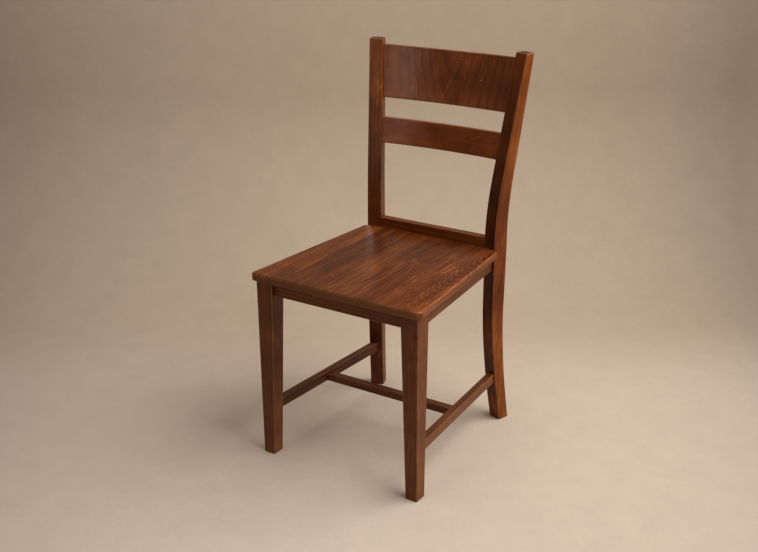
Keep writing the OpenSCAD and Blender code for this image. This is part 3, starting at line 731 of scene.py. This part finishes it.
def grid_quads(m, n):
    """The numbers of m x n points in rows, and the quads between them."""
    grid = np.arange(m * n).reshape(m, n)
    corners = [grid[:-1, :-1], grid[:-1, 1:], grid[1:, 1:], grid[1:, :-1]]
    return grid, np.stack(corners, -1).reshape(-1, 4)


def slab(name, x, y, top, low, wear_and_highlight):
    """A closed board from two grids of heights over the same plan grid, with a wall between their
    outlines."""
    m, n = x.shape
    grid, quads = grid_quads(m, n)
    rim = np.r_[grid[0, :-1], grid[:-1, -1], grid[-1, :0:-1], grid[:0:-1, 0]]
    nxt = np.roll(rim, -1)
    wall = np.stack([rim, nxt, nxt + m * n, rim + m * n], 1)
    points = np.concatenate([np.stack([x, y, z], -1).reshape(-1, 3) for z in (top, low)])
    all_quads = np.concatenate([quads[:, ::-1], quads + m * n, wall])
    return closed(name, points, all_quads, [], np.concatenate([wear_and_highlight.ravel(), 0.5 * wear_and_highlight.ravel()]))


def on_seat(x, y):
    """A place on the seat, in millimetres from the middle and from the legs' front faces."""
    return x / 1000, y / 1000 + front_y, seat_top


quarter = np.linspace(0, math.pi / 2, 11)
front_rows = seat_front + seat_r * (1 - np.cos(quarter))
turn_start = back_c[1] + seat_r * side_out[1]
turn_end = back_c[1] + seat_r * back_out[1]
back_rows = back_c[1] + seat_r * np.sin(np.linspace(side_angle, math.pi / 2 - cant, 10))
rows = np.r_[front_rows, np.linspace(front_rows[-1], turn_start, 44)[1:-1], back_rows,
             np.linspace(turn_end, seat_back, 7)[1:]]
limit = seat_side(rows)

# The outer planks' columns of points crowd within fine_edge of the seat's sides. The mask of wear
# and painted highlight peaks a little in from the edge, and it is kept off the seat's front edge,
# coming in over a short run behind it.
even = np.broadcast_to(np.linspace(0, 1, 22), (len(rows), 22))
fine_edge = 0.006
wear_and_highlight_peak = 0.0014
plain_front = 0.02

# The places of the photographed veins and of one scuff, and each plank's stain and grain.
seat_veins = [[(-119, 0), (-106, 154), (-64, 278), (-50, 369)], [(-125, 24), (-136, 91)],
              [(55, -7), (55, 35), (41, 64), (51, 121)], [(116, 43), (122, 96), (150, 109)],
              [(134, 142), (146, 175)], [(143, 213), (163, 231)],
              [(102, 339), (137, 289), (151, 317)], [(80, 165), (67, 223), (73, 239)],
              [(-141, 65), (-139, 134)]]
seat_scuffs = [[(-63, 77), (-45, 70)]]
seat_marks = (strokes(seat_veins, on_seat, 0.0035, 0.28)
              + strokes(seat_scuffs, on_seat, 0.008, 0.25))
planks = [
    dict(tones=("341407", "622d12", "985523"), heart=(-0.3, 0.1, 0.36), slant=0.02,
         ring=0.22, ring_gap=0.008, curl=1, vein=0.2),
    dict(tones=("2f1206", "55260d", "894a1d"), heart=(-0.16, 0.1, 0.4), slant=0.05,
         ring=0.25, ring_gap=0.007, curl=1.3, vein=0.3),
    dict(tones=("2e1106", "52250d", "81451c"), heart=(0.09, 0.1, 0.35), slant=-0.02,
         ring=0.25, ring_gap=0.008, curl=1, vein=0.3),
    dict(tones=("311306", "5b2910", "905027"), heart=(0.02, 0.1, 0.39), slant=0.06,
         ring=0.25, ring_gap=0.005, curl=0.7, vein=0.35),
    dict(tones=("321306", "622c11", "a05a28"), heart=(0.19, 0.1, 0.405), slant=0.1,
         ring=0.2, ring_gap=0.0026, curl=0.4, vein=0.5)]
plank_w = seat_w / 5
for k, wood in enumerate(planks):
    low_x, high_x = -seat_w / 2 + k * plank_w, -seat_w / 2 + (k + 1) * plank_w
    left, right = np.maximum(low_x, -limit), np.minimum(high_x, limit)
    wide = (right - left)[:, None]
    near = fine_edge * (1 - np.cos(quarter)) / wide
    share = even
    if k == 4:
        share = np.concatenate([even[:, :-1] * (1 - near[:, -1:]), 1 - near[:, ::-1]], 1)
    if k == 0:
        share = np.concatenate([near, near[:, -1:] + even[:, 1:] * (1 - near[:, -1:])], 1)
    x = left[:, None] + share * wide
    y = np.broadcast_to(rows[:, None], x.shape)
    d = edge_distance(x, y)
    past_turn = np.clip((y - turn_start) / (turn_end - turn_start), 0, 1)
    over = over_r - (over_r - back_edge_r) * past_turn
    from_back = np.minimum(seat_back - y, back_at - np.stack([np.abs(x), y], -1) @ back_out)
    drop = np.maximum(round_over(d, over), round_over(from_back, back_edge_r))
    rise = round_over(d, under_r)
    wear_and_highlight = np.exp(-((d - wear_and_highlight_peak) / wear_and_highlight_peak) ** 2)
    wear_and_highlight = wear_and_highlight * np.clip((y - seat_front) / plain_front, 0, 1)
    here = [mark for mark in seat_marks
            if min(mark[0][0], mark[1][0]) < high_x and max(mark[0][0], mark[1][0]) > low_x]
    plank = slab(f"seat_plank_{k + 1}.wood", x, y + front_y, seat_top - drop, under_seat + rise,
                 wear_and_highlight)
    fit(plank, f"seat_plank_{k + 1}", stained_wood(
        f"seat plank {k + 1}", (0, 1, 0), (1, 0, 0), 31.0 + 2.7 * k, band=0.65, fibre=0.7,
        wear_and_highlight=0.65, gloss=0.34, coat=0.06, ends=0.75, end_tone="744a26", marks=here, **wood))

# Studio. Warm tan paper lies as the floor and sweeps up behind the chair, square to the camera. A
# large soft lamp stands high on the right, weak ones in front and above, and a thin warm strip
# close to the left post gives the seat its long streak.
sheet_turn = math.radians(32.93)
away = np.array([-math.sin(sheet_turn), math.cos(sheet_turn)])
beside = np.array([math.cos(sheet_turn), math.sin(sheet_turn)])
sweep_start, sweep_r, sheet_high = 0.55, 0.6, 2.6
sheet_front, sheet_half = -9.0, 7.0
fade_start, fade_end = 1.25, 1.75


def paper_sheet(name):
    """A flat floor, a quarter circle and an upright wall, carried along a straight line: each point
    is far along the view's direction, high above the floor and q across."""
    floor = np.linspace(sheet_front, sweep_start, 30)
    turn = np.linspace(0, math.pi / 2, 25)[1:]
    wall = np.linspace(sweep_r, sheet_high, 13)[1:]
    far = np.r_[floor, sweep_start + sweep_r * np.sin(turn),
                np.full_like(wall, sweep_start + sweep_r)]
    high = np.r_[np.zeros_like(floor), sweep_r * (1 - np.cos(turn)), wall]
    q = np.linspace(-sheet_half, sheet_half, 57)
    plan = far[:, None, None] * away + q[:, None] * beside
    up = np.broadcast_to(high[:, None, None], (*plan.shape[:2], 1))
    points = np.concatenate([plan, up], 2)
    quads = grid_quads(*plan.shape[:2])[1]
    mesh = bpy.data.meshes.new(name)
    mesh.from_pydata(points.reshape(-1, 3), [], quads)
    mesh.shade_smooth()
    sheet = bpy.data.objects.new(name, mesh)
    bpy.context.scene.collection.objects.link(sheet)
    return sheet


def paper(name):
    """Matt paper, finely mottled, with a painted shade that darkens it where it stands up and
    toward
    its two sides: q is the place across and s the place along the view, and the square of the
    distance across from a middle line drives the painted falloff. Its back lets the camera by, and
    so do its sides and its front, little by little."""
    f = Finish(name, Roughness=0.95, **{"Specular IOR Level": 0.05})
    p = f.place()
    q, s = f.dot(p, (*beside, 0)), f.dot(p, (*away, 0))
    upright = f.span(s + f.dot(p, (0, 0, 1)) * 0.5, 0.15, 0.75)
    across = (q + 0.1 + upright * 0.1) ** 2.0
    far_off = f.span(f.math("MAXIMUM", f.math("ABSOLUTE", q), -s), fade_start, fade_end)
    # Painted shade: toward its two sides the paper is darker, standing in for the lamps' falloff.
    painted_falloff = f.math("MINIMUM", across * 0.2 + across ** 2.0 * 0.05, 0.5) * (1.1 - upright * 0.15)
    painted_falloff = painted_falloff * (1.0 - far_off)
    mottle = f.noise(p * 14.0, 4.0, 0.6) - 0.5 + (f.noise(p * 90.0, 3.0, 0.7) - 0.5) * 0.6
    # Painted shade: where it stands up the paper takes a darker tone.
    colour = f.mix(upright, (*tone("d4c4b4"), 1), (*tone("c1af9c"), 1))
    shade = (1.0 - painted_falloff) * (1.0 + mottle * 0.16)
    f.feed(Base_Color=f.mix(1.0, colour, f.join(shade, shade, shade), "MULTIPLY"))
    behind = f.geometry("Backfacing")
    seen = f.node("ShaderNodeLightPath", {}, {}, "Is Camera Ray")
    clear = f.node("ShaderNodeBsdfTransparent")
    both = f.node("ShaderNodeMixShader", {}, {0: f.math("MAXIMUM", behind, far_off) * seen,
                                              1: Value(f, f.shader.outputs[0]), 2: clear})
    f.tree.links.new(both.socket, f.out.inputs[0])
    return f.material


sheet = paper_sheet("paper_sheet")
sheet.data.materials.append(paper("paper"))

# The world is a faint warm white light, and plain tan to the camera and in reflections.
world = bpy.data.worlds.new("studio")
bpy.context.scene.world = world
world.use_nodes = True
tree = world.node_tree
ambient = tree.nodes["Background"]
ambient.inputs[0].default_value = (1.0, 0.97, 0.93, 1)
ambient.inputs[1].default_value = 0.05
beyond = tree.nodes.new("ShaderNodeBackground")
beyond.inputs[0].default_value = (*tone("a49179"), 1)
path = tree.nodes.new("ShaderNodeLightPath").outputs


def either(a, b):
    """1 where one of two outputs of the world's nodes is 1."""
    total = tree.nodes.new("ShaderNodeMath")
    total.operation, total.use_clamp = "ADD", True
    tree.links.new(a, total.inputs[0])
    tree.links.new(b, total.inputs[1])
    return total.outputs[0]


seen = either(either(path["Is Camera Ray"], path["Is Glossy Ray"]), path["Is Transmission Ray"])
blend = tree.nodes.new("ShaderNodeMixShader")
for k, output in enumerate((seen, ambient.outputs[0], beyond.outputs[0])):
    tree.links.new(output, blend.inputs[k])
tree.links.new(blend.outputs[0], tree.nodes["World Output"].inputs[0])


def soft_lamp(name, place, target, width, height, watts, colour):
    """A rectangle of light at a place, turned to face a target."""
    lamp = bpy.data.lights.new(name, "AREA")
    lamp.shape, lamp.size, lamp.size_y = "RECTANGLE", width, height
    lamp.energy, lamp.color = watts, colour
    back = np.array(place) - np.array(target)
    back /= np.linalg.norm(back)
    right = np.cross((0, 0, 1), back)
    right /= np.linalg.norm(right)
    up = np.cross(back, right)
    holder = bpy.data.objects.new(name, lamp)
    turn = np.eye(4)
    turn[:3, 0], turn[:3, 1], turn[:3, 2], turn[:3, 3] = right, up, back, place
    holder.matrix_world = Matrix(turn.tolist())
    holder.visible_camera = False
    bpy.context.scene.collection.objects.link(holder)


soft_lamp("key", (2.2, 0.6, 2.8), (0, 0, 0.4), 3.6, 2.6, 136, (1.0, 0.965, 0.91))
soft_lamp("fill", (-0.35, -3.0, 1.3), (0, 0, 0.7), 0.8, 1.1, 6, (1.0, 0.975, 0.94))
soft_lamp("glint", (-0.166, 0.14, 0.545), (0.1, -0.25, 0.5), 0.015, 0.19, 0.006, (1.0, 0.9, 0.8))
soft_lamp("top", (-0.4, -0.6, 3.2), (-0.1, -0.4, 0), 2.2, 2.2, 24, (1.0, 0.975, 0.94))

# Camera. It stands before the chair and to its right, 45 cm above its top, and looks down by 21
# degrees. Its focal length is given in pixels of a frame 758 wide.
elevation, roll = math.radians(21.30), math.radians(-0.45)
camera_place = (1.29568, -1.82075 + front_y, 1.35829)
focal_px, frame_px, sensor_mm = 1128.90, 758, 36.0
back = np.array([*(-away * math.cos(elevation)), math.sin(elevation)])
level = np.array([*beside, 0.0])
up = np.cross(back, level)
view = np.eye(4)
view[:3, 0] = level * math.cos(roll) + up * math.sin(roll)
view[:3, 1] = up * math.cos(roll) - level * math.sin(roll)
view[:3, 2] = back
view[:3, 3] = camera_place
lens = bpy.data.cameras.new("camera")
lens.sensor_width = sensor_mm
lens.lens = focal_px / frame_px * sensor_mm
camera = bpy.data.objects.new("camera", lens)
camera.matrix_world = Matrix(view.tolist())
bpy.context.scene.collection.objects.link(camera)
bpy.context.scene.camera = camera
bpy.context.scene.view_settings.view_transform = "Standard"
